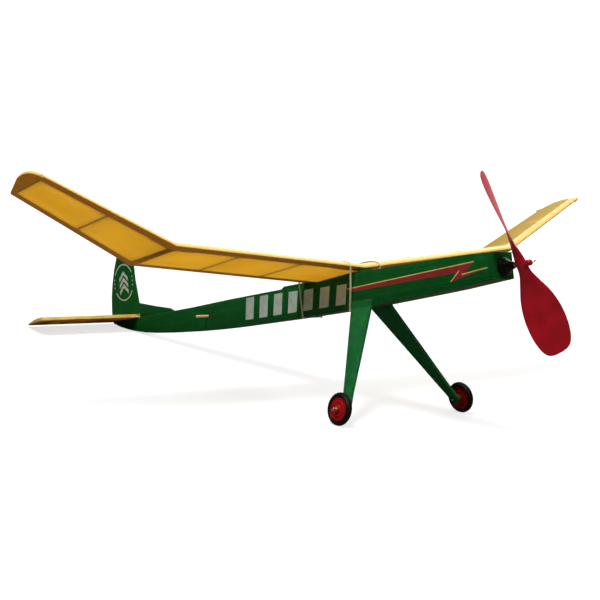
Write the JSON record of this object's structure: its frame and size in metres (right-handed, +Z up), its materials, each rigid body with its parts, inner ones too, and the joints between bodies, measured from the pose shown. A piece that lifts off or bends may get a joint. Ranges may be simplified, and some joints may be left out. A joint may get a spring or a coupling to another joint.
{
  "type": "rubber powered model aeroplane",
  "caption": "High-wing rubber-powered free-flight model aeroplane with a polyhedral tissue-covered wing, box fuselage, sheet legs and a freewheeling plastic propeller.",
  "frame": {"origin": "on the ground, under the middle of the outline, with the aeroplane standing on its two wheels and its tail", "axes": "+X towards the nose, +Y to port (its own left), +Z up; the fuselage slopes nose-up by 14.7 degrees"},
  "size_m": [0.6118, 0.609, 0.21],
  "materials": {
    "green_sheet": "satin",
    "bottom_sheet": "satin",
    "bare_wood": "matt",
    "spar_wood": "satin",
    "hard_sheet": "matt",
    "yellow_tissue": "satin",
    "tyre_rubber": "matt",
    "red_plastic": "gloss",
    "black_plastic": "matt",
    "steel_wire": "bright",
    "brass": "bright",
    "rubber_strip": "matt",
    "pale_rubber": "matt"
  },
  "bodies": {
    "airframe": {"fuselage_side_port": "green_sheet", "fuselage_side_starboard": "green_sheet", "fuselage_top_sheet": "green_sheet", "fuselage_bottom_sheet": "bottom_sheet", "nose_former": "bare_wood", "leg_former": "bare_wood", "wing_former": "bare_wood", "peg_former": "bare_wood", "tail_block": "bare_wood", "peg_plate_port": "hard_sheet", "peg_plate_starboard": "hard_sheet", "wing_platform": "green_sheet", "inner_leading_edge_port": "spar_wood", "inner_leading_edge_starboard": "spar_wood", "inner_trailing_edge_port": "spar_wood", "inner_trailing_edge_starboard": "spar_wood", "inner_ribs_port": "bare_wood", "inner_ribs_starboard": "bare_wood", "inner_covering_port": "yellow_tissue", "inner_covering_starboard": "yellow_tissue", "tip_leading_edge_port": "spar_wood", "tip_leading_edge_starboard": "spar_wood", "tip_trailing_edge_port": "spar_wood", "tip_trailing_edge_starboard": "spar_wood", "tip_ribs_port": "bare_wood", "tip_ribs_starboard": "bare_wood", "tip_covering_port": "yellow_tissue", "tip_covering_starboard": "yellow_tissue", "tip_plate_port": "spar_wood", "tip_plate_starboard": "spar_wood", "joint_brace_port": "hard_sheet", "joint_brace_starboard": "hard_sheet", "centre_brace": "hard_sheet", "tailplane_leading_edge": "spar_wood", "tailplane_trailing_edge": "spar_wood", "tailplane_tip_port": "spar_wood", "tailplane_tip_starboard": "spar_wood", "tailplane_ribs": "bare_wood", "tailplane_covering": "yellow_tissue", "fin": "green_sheet", "fin_fillet": "green_sheet", "leg_port": "green_sheet", "leg_starboard": "green_sheet", "axle_port": "steel_wire", "axle_starboard": "steel_wire", "axle_washer_port": "brass", "axle_washer_starboard": "brass", "rubber_motor": "rubber_strip", "wing_band": "pale_rubber"},
    "nose_plug": {"nose_button": "black_plastic"},
    "shaft": {"propeller_shaft": "brass", "thrust_washer": "brass"},
    "propeller": {"propeller": "red_plastic"},
    "wheel_port": {"tyre_port": "tyre_rubber", "wheel_disc_port": "red_plastic"},
    "wheel_starboard": {"tyre_starboard": "tyre_rubber", "wheel_disc_starboard": "red_plastic"},
    "motor_peg": {"motor_peg": "bare_wood"}
  },
  "joints": [
    {"name": "nose_plug_pull", "type": "slide", "parent": "airframe", "child": "nose_plug", "axis": [0.9672, 0, 0.2541], "range_m": [0, 0.03], "deforming": ["rubber_motor"]},
    {"name": "shaft_spin", "type": "hinge", "parent": "nose_plug", "child": "shaft", "pos_m": [0.27383, 0, 0.14075], "axis": [0.9672, 0, 0.2541], "continuous": true, "deforming": ["rubber_motor"]},
    {"name": "propeller_freewheel", "type": "hinge", "parent": "shaft", "child": "propeller", "pos_m": [0.2835, 0, 0.14329], "axis": [0.9672, 0, 0.2541], "continuous": true},
    {"name": "wheel_spin_port", "type": "hinge", "parent": "airframe", "child": "wheel_port", "pos_m": [0.17139, 0.0683, 0.01314], "axis": [-0.0397, 0.9877, 0.1513], "continuous": true},
    {"name": "wheel_spin_starboard", "type": "hinge", "parent": "airframe", "child": "wheel_starboard", "pos_m": [0.17139, -0.0683, 0.01314], "axis": [0.0397, 0.9877, -0.1513], "continuous": true},
    {"name": "motor_peg_pull", "type": "slide", "parent": "airframe", "child": "motor_peg", "axis": [0, -1, 0], "range_m": [0, 0.03]}
  ]
}
